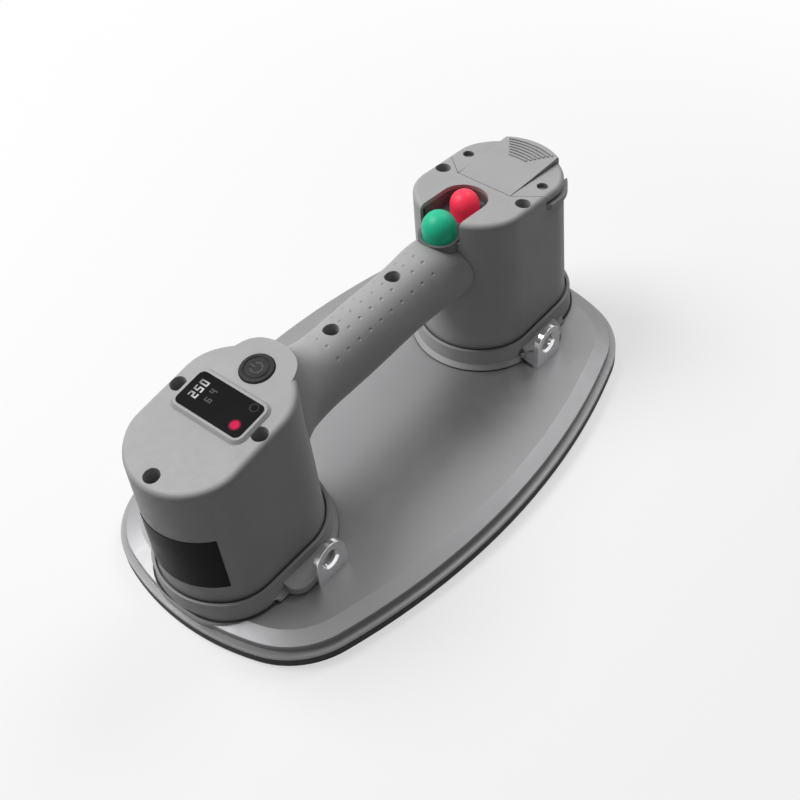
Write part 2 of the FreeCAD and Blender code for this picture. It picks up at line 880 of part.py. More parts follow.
def button_spring(x, centre_z):
    """Coil spring between the guide's floor and the roof of the hollow button."""
    z0 = guide_foot + guide_floor
    tall = centre_z - 2.0 - z0
    pitch = (tall - spring_wire) / spring_turns
    helix = Part.makeHelix(pitch, tall - spring_wire, spring_r)
    half = spring_wire / 2
    ring = [V(spring_r + sx * half, 0, sz * half) for sx, sz in ((-1, -1), (1, -1), (1, 1), (-1, 1), (-1, -1))]
    coil = Part.Wire(helix).makePipeShell([Part.makePolygon(ring)], True, True)
    coil.translate(V(x, 0, z0 + half))
    return coil


def micro_switch():
    top = guide_foot - button_travel - 0.8
    return box(suction_x - switch_len / 2, suction_x + switch_len / 2,
               -switch_wid / 2, switch_wid / 2, top - switch_high, top)


def release_valve():
    """Valve body on the foot of the red button's guide, bored for its stem."""
    body = rod(release_x, 0, guide_foot - 20.0, guide_foot, valve_r)
    bore = rod(release_x, 0, guide_foot - 2 * button_travel - 4, guide_foot + 1, stem_r + stem_gap)
    return body.cut(bore)


def release_pipe():
    pipe = rod(release_x, 0, plate_top, guide_foot - 20.0, hose_r)
    foot = rod(release_x, 0, plate_top, plate_top + 2.5, valve_r)
    return pipe.fuse(foot).cut(rod(release_x, 0, plate_top - 1, guide_foot - 19, hose_r - 1.2))


# Display tower top


def tilted(shape, x):
    """Lay a shape drawn about the origin onto the display tower top at distance x."""
    turned = shape.copy()
    turned.rotate(V(0, 0, 0), V(0, 1, 0), -math.degrees(math.atan(top_slope)))
    turned.translate(V(-x, 0, roof(-x)))
    return turned


def round_block(length, width, corner, z0, z1):
    block = box(-length / 2, length / 2, -width / 2, width / 2, z0, z1)
    upright = [e for e in block.Edges if e.BoundBox.ZLength > 0.01]
    return block.makeFillet(corner, upright)


def bezel():
    """Raised frame with sloping flanks round the display window."""
    grow = 2 * (bezel_rim + bezel_slope)
    frame = round_block(window_len + grow, window_wid + grow, window_corner + bezel_rim + bezel_slope,
                        -1.0, bezel_rise)
    upper = [e for e in frame.Edges if e.BoundBox.ZMin > bezel_rise - 0.01]
    return frame.makeChamfer(bezel_slope, upper)


def window_glass():
    top = bezel_rise - window_sunk
    return round_block(window_len, window_wid, window_corner, top - window_thick, top)


def window_pocket():
    grow = 2 * window_fit
    foot = bezel_rise - window_sunk - window_thick
    pocket = round_block(window_len + grow, window_wid + grow, window_corner + window_fit, foot, 20)
    trim = 2 * module_inset
    through = round_block(window_len - trim, window_wid - trim, 1.0, -12, foot + 1)
    return pocket.fuse(through)


def display_module():
    trim = 2 * (module_inset + 0.2)
    top = bezel_rise - window_sunk - window_thick
    return round_block(window_len - trim, window_wid - trim, 0.8, -board_drop, top)


def power_cap():
    """Flat round key with a shallow ring groove and a retaining flange."""
    cap = Part.makeCylinder(power_r, power_deep + power_proud, V(0, 0, -power_deep))
    upper = [e for e in cap.Edges if e.BoundBox.ZMin > power_proud - 0.01]
    cap = cap.makeFillet(0.8, upper)
    groove = Part.makeTorus(power_r * 0.72, 0.4, V(0, 0, power_proud))
    flange = Part.makeCylinder(power_r + power_flange_out, power_flange, V(0, 0, -power_deep - power_flange))
    return cap.cut(groove).fuse(flange)


def power_hole():
    return Part.makeCylinder(power_r + button_gap, 30, V(0, 0, -14))


def power_room():
    """Room for the power key's flange in the tower wall, pressed and released."""
    radius = power_r + power_flange_out + power_room_gap
    foot = power_deep + power_flange + power_travel + power_room_gap
    return Part.makeCylinder(radius, foot - lid_thick, V(0, 0, -foot))


def power_switch():
    top = -power_deep - power_flange - power_travel - 0.2
    body = box(-3.5, 3.5, -3.5, 3.5, -board_drop, top - 0.8)
    return body.fuse(Part.makeCylinder(1.7, 2.0, V(0, 0, top - 2.0)))


def board_corners():
    return [(sx * post_x, sy * post_y) for sx in (-1, 1) for sy in (-1, 1)]


def board_post(x, y):
    """Post under the cover that carries a corner of the control board."""
    return tilted(Part.makeCylinder(post_r, board_drop - 1.5, V(x, y, -board_drop)), board_x)


def control_board():
    under = -board_drop - board_thick
    board = box(-board_len / 2, board_len / 2, -board_wid / 2, board_wid / 2, under, -board_drop)
    for x, y in board_corners():
        board = board.cut(Part.makeCylinder(post_screw_r + screw_fit, 6, V(x, y, under - 2)))
    board = tilted(board, board_x).common(mirror_x(tower_form(-tower_wall - 1.0)))
    chips = [(-8.0, 2.0, 9.0, 9.0, 1.6), (6.0, -9.0, 6.0, 8.0, 2.2), (14.0, 6.0, 5.0, 12.0, 3.5)]
    for x, y, wide, deep, tall in chips:
        chip = box(x - wide / 2, x + wide / 2, y - deep / 2, y + deep / 2, under - tall, under + 0.2)
        board = board.fuse(tilted(chip, board_x))
    return board


def board_screw(x, y, slack=0.0):
    under = -board_drop - board_thick
    head = Part.makeCylinder(2.0, 1.2, V(x, y, under - 1.2))
    shank = Part.makeCylinder(post_screw_r + slack, 5.0, V(x, y, under))
    return tilted(head.fuse(shank), board_x)


# Ears and gaskets


def ear_bracket():
    """Sheet steel ear at the rear of the battery tower: leg, eye with a countersink, side wing."""
    x0 = ear_x0
    x1 = ear_x0 + ear_width
    middle = (x0 + x1) / 2
    y0 = pad_front + ear_fit
    y1 = y0 + ear_thick
    eye_z = foot_z + ear_hole_z
    plate = box(x0, x1, y0, y1, plate_top, eye_z)
    plate = plate.fuse(Part.makeCylinder(ear_width / 2, ear_thick, V(middle, y0, eye_z), V(0, 1, 0)))
    plate = plate.removeSplitter()
    plate = plate.cut(Part.makeCylinder(ear_hole_r, ear_thick + 2, V(middle, y0 - 1, eye_z), V(0, 1, 0)))
    rim = []
    for edge in plate.Edges:
        round_edge = isinstance(edge.Curve, Part.Circle)
        if round_edge and abs(edge.Curve.Radius - ear_hole_r) < 0.01 and edge.BoundBox.YMin > y1 - 0.01:
            rim.append(edge)
    plate = plate.makeChamfer(ear_sink, rim)
    leg = box(x0 + ear_wing_thick, x1, ear_leg_end, y0, plate_top, plate_top + ear_leg_thick)
    leg = leg.cut(rod(middle, ear_screw_y, plate_top - 1, plate_top + 9, ear_screw_r + screw_fit))
    wing_top = foot_z + ear_wing_high
    side = [
        V(x0, y1, plate_top), V(x0, y1, wing_top), V(x0, y0, wing_top),
        V(x0, ear_wing_end, wing_top - ear_wing_drop), V(x0, ear_wing_end, foot_z + 2), V(x0, y1, plate_top),
    ]
    wing = Part.Face(Part.makePolygon(side)).extrude(V(ear_wing_thick, 0, 0))
    return fuse_all([plate, leg, wing]).removeSplitter()


def ear_pocket():
    """Space for an ear's leg and wing under the foot pad."""
    fit = ear_fit
    x1 = ear_x0 + ear_width + fit
    leg = box(ear_x0, x1, ear_leg_end - fit, pad_front + 9, plate_top, plate_top + ear_leg_thick + fit)
    wing = box(ear_x0 - fit, ear_x0 + ear_wing_thick + fit, ear_wing_end - fit, 2 * tower_half_wid,
               0, foot_z + ear_wing_high + fit)
    return leg.fuse(wing)


def foot_gasket():
    """Flat rubber ring under the battery tower."""
    cut = gasket_out - skirt_foot_out + skirt_nose_cut
    ring = tower_prism(gasket_out, plate_top, gasket_out, foot_z, cut, cut)
    ring = ring.cut(tower_prism(-gasket_in, plate_top - 1, -gasket_in, foot_z + 1))
    for x, y in tower_screws():
        ring = ring.cut(base_screw_hole(x, y, base_screw_r))
    return ring


def blank_label():
    """Bare sticker on the outer end of the display tower."""
    skin = tower_form(label_glue + label_thick).cut(tower_form(label_glue))
    x0 = tower_nose_out - label_reach
    return mirror_x(skin.common(box(x0, far_x, -2 * tower_half_wid, label_end_y, label_z0, label_z1)))


# Vacuum parts


def pump_bracket():
    """Plate under the pump with an upturned lug at each corner."""
    dx = pump_head_len / 2 + bracket_out
    dy = pump_head_wid / 2 + bracket_out + 1.0
    plate = box(-pump_x - dx, -pump_x + dx, -dy, dy, plate_top, plate_top + bracket_thick)
    pieces = [plate]
    lug = bracket_lug / 2
    for sx in (-1, 1):
        for sy in (-1, 1):
            x = -pump_x + sx * (dx - lug)
            y = sy * (dy - lug)
            pieces.append(box(x - lug, x + lug, y - lug, y + lug, plate_top, plate_top + bracket_lug_high))
    room = round_block(pump_head_len, pump_head_wid, 5.0, 0, pump_head_high)
    room.translate(V(-pump_x, 0, plate_top + bracket_thick))
    return fuse_all(pieces).cut(room)


def pump_head():
    block = round_block(pump_head_len, pump_head_wid, 5.0, 0, pump_head_high)
    block.translate(V(-pump_x, 0, plate_top + bracket_thick))
    return block.cut(Part.makeCylinder(hose_r - 1.2, 8, V(-pump_x + pump_head_len / 2 - 7, 0, hose_z), V(1, 0, 0)))


def pump_motor():
    low = plate_top + bracket_thick + pump_head_high
    can = rod(-pump_x, 0, low, low + motor_len, motor_r)
    upper = [e for e in can.Edges if e.BoundBox.ZMin > low + motor_len - 0.01]
    can = can.makeFillet(1.5, upper)
    return can.fuse(rod(-pump_x, 0, low + motor_len - 0.5, low + motor_len + 3, 4.5))


def check_valve():
    top = plate_top + valve_high
    body = rod(-valve_x, 0, plate_top, top, valve_r).fuse(rod(-valve_x, 0, top, top + 4, valve_r - 2))
    body = body.cut(rod(-valve_x, 0, plate_top - 1, top - 3, port_r - 1))
    return body.cut(Part.makeCylinder(hose_r - 1.2, 9, V(-valve_x, 0, hose_z), V(-1, 0, 0)))


def suction_hose():
    """Short hose from the check valve to the pump head."""
    x0 = -pump_x + pump_head_len / 2
    length = -valve_x - x0
    hose = Part.makeCylinder(hose_r, length, V(x0, 0, hose_z), V(1, 0, 0))
    hose = hose.cut(rod(-valve_x, 0, 0, 90, valve_r))
    return hose.cut(Part.makeCylinder(hose_r - 1.2, length + 2, V(x0 - 1, 0, hose_z), V(1, 0, 0)))


def wire_harness():
    """Bundled wires from the control board through the handle to the battery contacts."""
    start = roof(-76.0) - board_drop - board_thick - 4.0
    end_z = contact_z + contact_high / 2
    end_x = pack_x0 - bay_back - bay_wall - 4.0
    points = [
        V(-76, 10, start), V(-74, harness_y, harness_z), V(suction_x + 6, harness_y, harness_z),
        V(72, 13, 76), V(end_x - 6, 11, end_z), V(end_x - 0.1, 11, end_z),
    ]
    pieces = []
    for i in range(len(points) - 1):
        run = points[i + 1].sub(points[i])
        pieces.append(Part.makeCylinder(harness_r, run.Length, points[i], run))
    for p in points[1:-1]:
        pieces.append(Part.makeSphere(harness_r, p))
    return fuse_all(pieces)


# Export


def save(name, shape):
    shape.exportStep(os.path.join("parts", name + ".step"))
    print(name, "solids", len(shape.Solids), "volume", round(shape.Volume), "valid", shape.isValid())


def make_plate():
    save("base_plate", base_plate())
    save("suction_seal", suction_seal())
    save("port_filters", Part.makeCompound([port_filter(x) for x in ports()]))
    gasket = foot_gasket()
    save("battery_foot_gasket", gasket)
    save("display_foot_gasket", mirror_x(gasket))
    save("tower_screws", Part.makeCompound([base_screw(x, y, base_screw_r, 10) for x, y in tower_screws()]))
    reach = ear_leg_thick
    save("ear_screws", Part.makeCompound([base_screw(x, y, ear_screw_r, reach) for x, y in ear_screws()]))


def make_shells():
    display, battery = lid_screws()
    body = shell_body()
    cover_part = cover_zone()
    lid_part = lid_zone()
    cover = body.common(cover_part).cut(tower_form(grip_gap))
    lid = body.common(lid_part)
    lower = body.cut(cover_part).cut(lid_part)

    slot = slot_plan(0.0, slot_floor, tower_tall)
    cup = guide_outer(suction_x, suction_r, 0.15)
    rail_cut = rail_room()
    tray_room = slot_plan(tray_wall + 0.1, slot_floor - tray_floor - 0.1, tower_tall).common(tower_form(-2.0))
    lower = lower.cut(fuse_all([slot, cup, tray_room, pack_path(), rail_cut]))
    lid = lid.cut(slot).cut(rail_cut)
    above = rod(suction_x, 0, slot_floor - 1, tower_tall, suction_r + button_gap + guide_wall + 0.15)
    cover = cover.cut(cup.fuse(above))

    for x, y in display:
        hole = cap_screw_hole(x, y, roof(x), screw_shank_len)
        cover = cover.cut(hole)
        lower = lower.cut(hole)
    for x, y in battery:
        hole = cap_screw_hole(x, y, roof(x), screw_shank_len)
        lid = lid.cut(hole)
        lower = lower.cut(hole)
    for x in (-grip_screw_x, grip_screw_x):
        hole = cap_screw_hole(x, 0, grip_z + grip_half_high, grip_shank_len)
        cover = cover.cut(hole)
        lower = lower.cut(hole)
    for y in (rail_screw_y, -rail_screw_y):
        lower = lower.cut(rail_screw_hole(rail_screw_x, y))
    for x, y in tower_screws():
        lower = lower.cut(base_screw_hole(x, y, base_screw_r))

    pocket = ear_pocket()
    lower = lower.cut(fuse_all([pocket, mirror_y(pocket), mirror_x(pocket), mirror_x(mirror_y(pocket))]))

    cover = cover.fuse(tilted(bezel(), window_x))
    cover = cover.cut(tilted(window_pocket(), window_x)).cut(tilted(power_hole(), power_x))
    cover = cover.cut(tilted(power_room(), power_x))
    lower = lower.cut(tilted(power_room(), power_x))
    cover = cover.multiFuse([board_post(x, y) for x, y in board_corners()])
    for x, y in board_corners():
        cover = cover.cut(board_screw(x, y, screw_fit))
    save("grip_cover", cover)
    save("battery_lid", lid)

    middle = box(-grip_seam_x, grip_seam_x, -120, 120, 0, tower_tall)
    towers = lower.cut(middle)
    save("grip_underside", lower.common(middle))
    save("battery_tower", towers.common(box(0, 200, -120, 120, 0, tower_tall)))
    save("display_tower", towers.common(box(-200, 0, -120, 120, 0, tower_tall)))


def make_ears():
    ear = ear_bracket()
    save("ear_rear_battery", ear)
    save("ear_front_battery", mirror_y(ear))
    save("ear_rear_display", mirror_x(ear))
    save("ear_front_display", mirror_x(mirror_y(ear)))


def make_battery():
    pair = rails()
    save("battery_rail_rear", pair.common(box(0, 200, 0, 90, 0, 200)))
    save("battery_rail_front", pair.common(box(0, 200, -90, 0, 0, 200)))
    save("battery_case", pack_case())
    save("battery_ramp", pack_ramp())
    save("battery_cells", cells())
    save("battery_bay", battery_bay())
    save("battery_contacts", battery_contacts())


def make_buttons():
    save("button_tray", button_tray())
    save("suction_button", push_button(suction_x, suction_r, suction_z, guide_foot - 0.3))
    save("release_button", push_button(release_x, release_r, release_z, guide_foot - 5.0))
    save("suction_spring", button_spring(suction_x, suction_z))
    save("release_spring", button_spring(release_x, release_z))
    save("suction_switch", micro_switch())
    save("release_valve", release_valve())
    save("release_pipe", release_pipe())


def make_display():
    save("display_window", tilted(window_glass(), window_x))
    save("display_module", tilted(display_module(), window_x))
    save("power_button", tilted(power_cap(), power_x))
    save("power_switch", tilted(power_switch(), power_x))
    save("control_board", control_board())
    save("board_screws", Part.makeCompound([board_screw(x, y) for x, y in board_corners()]))
    save("blank_label", blank_label())


def make_vacuum():
    save("pump_bracket", pump_bracket())
    save("pump_head", pump_head())
    save("pump_motor", pump_motor())
    save("check_valve", check_valve())
    save("suction_hose", suction_hose())
    save("wire_harness", wire_harness())


def make_screws():
    display, battery = lid_screws()
    shank = screw_shank_len
    top = grip_z + grip_half_high
    save("display_screws", Part.makeCompound([cap_screw(x, y, roof(x), shank) for x, y in display]))
    save("lid_screws", Part.makeCompound([cap_screw(x, y, roof(x), shank) for x, y in battery]))
    grips = [cap_screw(x, 0, top, grip_shank_len) for x in (-grip_screw_x, grip_screw_x)]
    save("grip_screws", Part.makeCompound(grips))
    places = (rail_screw_y, -rail_screw_y)
    save("rail_screws", Part.makeCompound([rail_screw(rail_screw_x, y) for y in places]))


os.makedirs("parts", exist_ok=True)
make_plate()
make_shells()
make_ears()
make_battery()
make_buttons()
make_display()
make_vacuum()
make_screws()
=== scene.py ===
import math
import bmesh
import bpy
from mathutils import Matrix, Vector
from mathutils.bvhtree import BVHTree
from mathutils.geometry import barycentric_transform


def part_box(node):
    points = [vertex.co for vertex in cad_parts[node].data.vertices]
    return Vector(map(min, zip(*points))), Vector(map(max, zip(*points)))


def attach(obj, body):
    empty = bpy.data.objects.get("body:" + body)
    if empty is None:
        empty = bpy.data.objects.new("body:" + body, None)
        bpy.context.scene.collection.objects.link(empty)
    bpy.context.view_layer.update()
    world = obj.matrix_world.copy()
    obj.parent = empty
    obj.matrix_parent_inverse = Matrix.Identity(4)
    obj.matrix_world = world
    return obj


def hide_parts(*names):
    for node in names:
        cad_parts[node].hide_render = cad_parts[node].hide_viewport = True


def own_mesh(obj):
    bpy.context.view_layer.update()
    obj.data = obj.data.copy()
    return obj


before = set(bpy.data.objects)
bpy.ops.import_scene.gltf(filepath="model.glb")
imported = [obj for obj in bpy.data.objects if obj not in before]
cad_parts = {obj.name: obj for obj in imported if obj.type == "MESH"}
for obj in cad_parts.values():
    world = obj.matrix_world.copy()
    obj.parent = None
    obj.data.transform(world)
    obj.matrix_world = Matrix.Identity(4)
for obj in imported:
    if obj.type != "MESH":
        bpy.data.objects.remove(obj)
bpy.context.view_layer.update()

# Towers, handle underside, battery lid and rails: glass filled nylon, injection moulded in spark
# eroded tools that leave a fine dull grain, and screwed together from above.
nylon_grey = (0.400, 0.398, 0.402)
nylon_rough = 0.58
nylon_grain = 0.0005
nylon_edge = 0.00035
node_rays = 4
drift_detail = 3.0
grain_detail = 2.0
noise_low = 0.3
noise_high = 0.7
sheen_patch = 8.0
facing_flat = 0.98
facing_edge = 0.8
worn_gain = 1.5
worn_lift = 0.03
# Painted shade: how far ambient occlusion looks, and the occlusion levels over which colour darkens
# towards crevice_dark times the colour.
crevice_reach = 0.006
crevice_open = 0.85
crevice_shut = 0.3
crevice_dark = 0.25


def finish(name, colour, rough, metal=0.0, mottle=0.05, drift=0.03, grain=0.0005, depth=0.00002,
           edge=0.0003, rub=0.1, spread=0.06, shine=0.5, painted_shade=0.0):
    """Procedural finish: slow colour drift, fine grain with its bump, edges softened and rubbed
    paler, and painted shade that darkens bores and inner corners."""
    surface = bpy.data.materials.new(name)
    surface.use_nodes = True
    nodes = surface.node_tree.nodes
    join = surface.node_tree.links.new
    shader = nodes["Principled BSDF"]
    shader.inputs["Metallic"].default_value = metal
    shader.inputs["Specular IOR Level"].default_value = shine
    place = nodes.new("ShaderNodeTexCoord").outputs["Object"]

    def noise(size, detail):
        pattern = nodes.new("ShaderNodeTexNoise")
        pattern.inputs["Scale"].default_value = 1.0 / size
        pattern.inputs["Detail"].default_value = detail
        join(place, pattern.inputs["Vector"])
        return pattern.outputs[0]

    def remap(source, from_low, from_high, low, high):
        node = nodes.new("ShaderNodeMapRange")
        node.inputs["From Min"].default_value = from_low
        node.inputs["From Max"].default_value = from_high
        node.inputs["To Min"].default_value = low
        node.inputs["To Max"].default_value = high
        join(source, node.inputs["Value"])
        return node.outputs["Result"]

    def blend(factor, first, second):
        mix = nodes.new("ShaderNodeMix")
        mix.data_type = "RGBA"
        join(factor, mix.inputs[0])
        for socket, value in ((mix.inputs[6], first), (mix.inputs[7], second)):
            if isinstance(value, tuple):
                socket.default_value = (*value, 1.0)
            else:
                join(value, socket)
        return mix.outputs[2]

    dark = tuple(c * (1.0 - mottle) for c in colour)
    pale = tuple(min(1.0, c * (1.0 + mottle)) for c in colour)
    body = blend(remap(noise(drift, drift_detail), noise_low, noise_high, 0.0, 1.0), dark, pale)
    soft = nodes.new("ShaderNodeBevel")
    soft.samples = node_rays
    soft.inputs["Radius"].default_value = edge
    turn = nodes.new("ShaderNodeVectorMath")
    turn.operation = "DOT_PRODUCT"
    join(soft.outputs["Normal"], turn.inputs[0])
    join(nodes.new("ShaderNodeNewGeometry").outputs["Normal"], turn.inputs[1])
    worn = remap(turn.outputs["Value"], facing_flat, facing_edge, 0.0, rub)
    coloured = blend(worn, body, tuple(min(1.0, c * worn_gain + worn_lift) for c in colour))
    # Painted shade: colour darkened where ambient occlusion finds bores, dents and inner corners.
    if painted_shade:
        shelter = nodes.new("ShaderNodeAmbientOcclusion")
        shelter.samples = node_rays
        shelter.inputs["Distance"].default_value = crevice_reach
        shade_share = remap(shelter.outputs["AO"], crevice_open, crevice_shut, 0.0, painted_shade)
        coloured = blend(shade_share, coloured, tuple(c * crevice_dark for c in colour))
    join(coloured, shader.inputs["Base Color"])
    patches = noise(grain * sheen_patch, grain_detail)
    sheen = remap(patches, noise_low, noise_high, rough - spread, rough + spread)
    join(sheen, shader.inputs["Roughness"])
    bump = nodes.new("ShaderNodeBump")
    bump.inputs["Distance"].default_value = depth
    join(noise(grain, grain_detail), bump.inputs["Height"])
    join(soft.outputs["Normal"], bump.inputs["Normal"])
    join(bump.outputs["Normal"], shader.inputs["Normal"])
    return surface


def dress(surface, *names):
    """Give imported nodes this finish."""
    for name in names:
        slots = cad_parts[name].data.materials
        slots.clear()
        slots.append(surface)


moulded = finish("moulded_nylon", nylon_grey, nylon_rough, grain=nylon_grain, edge=nylon_edge,
                 painted_shade=0.8)
dress(moulded, "battery_tower", "display_tower", "grip_underside", "battery_lid",
      "battery_rail_rear", "battery_rail_front")

# Grip cover: the same nylon in one moulding with the display tower's top. Round pins in the tool
# leave rows of shallow dents along the handle that keep a wet hand from slipping.
dent_pitch = 0.008
dent_first = -0.032
dents_in_row = 10
dent_angles = (-40, -17, 0, 17, 40)
dent_depth = 0.00045
pin_radius = 0.0014
pin_rings = 12
pin_sides = 20
grip_axis_height = 0.08175
clear_ring = 0.0022
clear_spots = 8
clear_step = 0.0006
cast_from = 0.06
cast_from_rim = 0.01
weld_reach = 0.000002
facet_gap = 0.00003
facing_pin = 0.85


def sphere_mesh(shape, centre, radius, rings, sides):
    """Add a round pin end to shape: rings of points from pole to pole, closed with triangles."""
    poles = [shape.verts.new(centre + Vector((0.0, 0.0, side * radius))) for side in (1, -1)]
    bands = []
    for i in range(1, rings):
        tip = math.pi * i / rings
        flat = radius * math.sin(tip)
        level = radius * math.cos(tip)
        band = []
        for j in range(sides):
            bearing = math.tau * j / sides
            spot = Vector((flat * math.cos(bearing), flat * math.sin(bearing), level))
            band.append(shape.verts.new(centre + spot))
        bands.append(band)
    for j in range(sides):
        k = (j + 1) % sides
        shape.faces.new((poles[0], bands[0][j], bands[0][k]))
        shape.faces.new((poles[1], bands[-1][k], bands[-1][j]))
        for upper, lower in zip(bands, bands[1:]):
            shape.faces.new((upper[j], lower[j], lower[k], upper[k]))


def keep_shading(mesh, source, pin_spots):
    """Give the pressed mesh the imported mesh's corner normals, and the dents those of the pins."""
    spots = [vertex.co for vertex in source.vertices]
    loops = [list(face.loop_indices) for face in source.polygons]
    skin = BVHTree.FromPolygons(spots, [tuple(face.vertices) for face in source.polygons])
    normals = [Vector((0.0, 0.0, 1.0))] * len(mesh.loops)
    for face in mesh.polygons:
        middle = face.center
        pin = min(pin_spots, key=lambda spot: (spot - middle).length_squared)
        places = [mesh.vertices[i].co for i in face.vertices]
        pressed = all(abs((place - pin).length - pin_radius) < facet_gap for place in places)
        if pressed and face.normal.dot((pin - middle).normalized()) > facing_pin:
            for loop, place in zip(face.loop_indices, places):
                normals[loop] = (pin - place).normalized()
            continue
        near = skin.find_nearest(middle)[2]
        corners = [spots[i] for i in source.polygons[near].vertices]
        turned = [source.corner_normals[i].vector for i in loops[near]]
        for loop, place in zip(face.loop_indices, places):
            normals[loop] = barycentric_transform(place, *corners, *turned).normalized()
    mesh.shade_smooth()
    mesh.normals_split_custom_set(normals)


def dented_cover(name, node):
    """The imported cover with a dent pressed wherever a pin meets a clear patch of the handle."""
    pin_spots = []
    shell = bmesh.new()
    shell.from_mesh(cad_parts[node].data)
    bmesh.ops.remove_doubles(shell, verts=shell.verts, dist=weld_reach)
    skin = BVHTree.FromBMesh(shell)
    pins = bmesh.new()
    for step in range(dents_in_row):
        for angle in dent_angles:
            turn = math.radians(angle)
            outward = Vector((0.0, math.sin(turn), math.cos(turn)))
            axis_spot = Vector((dent_first + step * dent_pitch, 0.0, grip_axis_height))
            spot, normal = skin.ray_cast(axis_spot + outward * cast_from, -outward)[:2]
            if spot is None:
                continue
            along = Vector((1.0, 0.0, 0.0)).cross(normal).normalized()
            across = normal.cross(along)
            clear = True
            for i in range(clear_spots):
                bearing = math.tau * i / clear_spots
                rim = spot + clear_ring * (along * math.cos(bearing) + across * math.sin(bearing))
                hit = skin.ray_cast(rim + normal * cast_from_rim, -normal)[0]
                clear = clear and hit is not None and abs((hit - rim).dot(normal)) < clear_step
            if clear:
                pin_spots.append(spot + normal * (pin_radius - dent_depth))
                sphere_mesh(pins, pin_spots[-1], pin_radius, pin_rings, pin_sides)
    meshes = []
    for part_name, shape in ((name, shell), (name + "_pins", pins)):
        mesh = bpy.data.meshes.new(part_name)
        shape.to_mesh(mesh)
        shape.free()
        meshes.append(mesh)
    cover, pin_block = (bpy.data.objects.new(mesh.name, mesh) for mesh in meshes)
    bpy.context.scene.collection.objects.link(cover)
    bpy.context.scene.collection.objects.link(pin_block)
    press = cover.modifiers.new("press", "BOOLEAN")
    press.object = pin_block
    press.solver = "EXACT"
    graph = bpy.context.evaluated_depsgraph_get()
    ready = bpy.data.meshes.new_from_object(cover.evaluated_get(graph))
    cover.modifiers.clear()
    cover.data = ready
    bpy.data.objects.remove(pin_block)
    ready.materials.clear()
    ready.materials.append(moulded)
    keep_shading(ready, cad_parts[node].data, pin_spots)
    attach(cover, "lifter")
    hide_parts(node)


dented_cover("dented_grip_cover", "grip_cover")

# Suction plate: die cast aluminium with a satin powder coat full of metal flake, slightly darker
# than the nylon and with the faint orange peel of baked powder, worn bright along its bevel.
coated = finish("powder_coat", (0.310, 0.310, 0.317), 0.42, metal=0.42, mottle=0.04, drift=0.06,
                grain=0.0011, depth=0.00002, edge=0.0006, rub=0.2, spread=0.03, painted_shade=0.6)
dress(coated, "base_plate")

# Seal and gaskets: black rubber. The seal is moulded as one ring and glued under the flange, the
# gaskets are cut from sheet and clamped under the towers.
rubber = finish("seal_rubber", (0.030, 0.030, 0.031), 0.72, mottle=0.2, drift=0.012, grain=0.0004,
                depth=0.00004, edge=0.0004, rub=0.3, shine=0.3)
dress(rubber, "suction_seal", "battery_foot_gasket", "display_foot_gasket")

# Strap ears: pressed and bent from 3 mm steel sheet, then bright nickel plated. The eye's rim
# and its countersink catch the light, the flat faces keep the faint rolling of the sheet.
plated = finish("bright_plating", (0.84, 0.84, 0.85), 0.15, metal=1.0, mottle=0.06, drift=0.004,
                grain=0.0009, depth=0.000025, edge=0.0005, rub=0.2, spread=0.05)
dress(plated, "ear_rear_battery", "ear_front_battery", "ear_rear_display", "ear_front_display")

# Button tray: a nylon tray, coloured far darker than the towers as painted shade of the slot, that
# drops into the slot of the battery tower and guides both ball headed keys.
# Painted shade: the tray's dark grey stands in for the shade inside the key slot.
tray_shaded_nylon = finish("tray_shaded_nylon", (0.15, 0.15, 0.152), 0.6, grain=nylon_grain, edge=0.0003,
                    painted_shade=0.5)
dress(tray_shaded_nylon, "button_tray")

# Push keys: moulded in signal coloured plastic with a satin polish, green for suction and red for
# release, each given a faint painted glow that brightens it. Each stands on a coil spring in its
# guide.
green = finish("green_key", (0.012, 0.52, 0.29), 0.46, mottle=0.06, drift=0.01, grain=0.0006,
               depth=0.00001, edge=0.0002, rub=0.08, shine=0.35)
red = finish("red_key", (0.98, 0.036, 0.085), 0.46, mottle=0.06, drift=0.01, grain=0.0006,
             depth=0.00001, edge=0.0002, rub=0.08, shine=0.35)
# Painted glow: emission on the keys, which are no lamps, to brighten their colours.
for key, colour, glow_strength in ((green, (0.01, 0.62, 0.36), 0.04), (red, (1.0, 0.03, 0.08), 0.2)):
    key_glow_shader = key.node_tree.nodes["Principled BSDF"]
    key_glow_shader.inputs["Emission Color"].default_value = (*colour, 1.0)
    key_glow_shader.inputs["Emission Strength"].default_value = glow_strength
dress(green, "suction_button")
dress(red, "release_button")

# Coil springs under the keys: drawn spring steel wire, wound with one closed turn at each end that
# sits flat on the guide's floor and under the key.
wire_steel = finish("spring_wire", (0.5, 0.5, 0.52), 0.32, metal=1.0, drift=0.002, grain=0.0003)
wire_radius = 0.00045
coil_radius = 0.0046
wire_sides = 10
open_turns = 4
turn_steps = 28


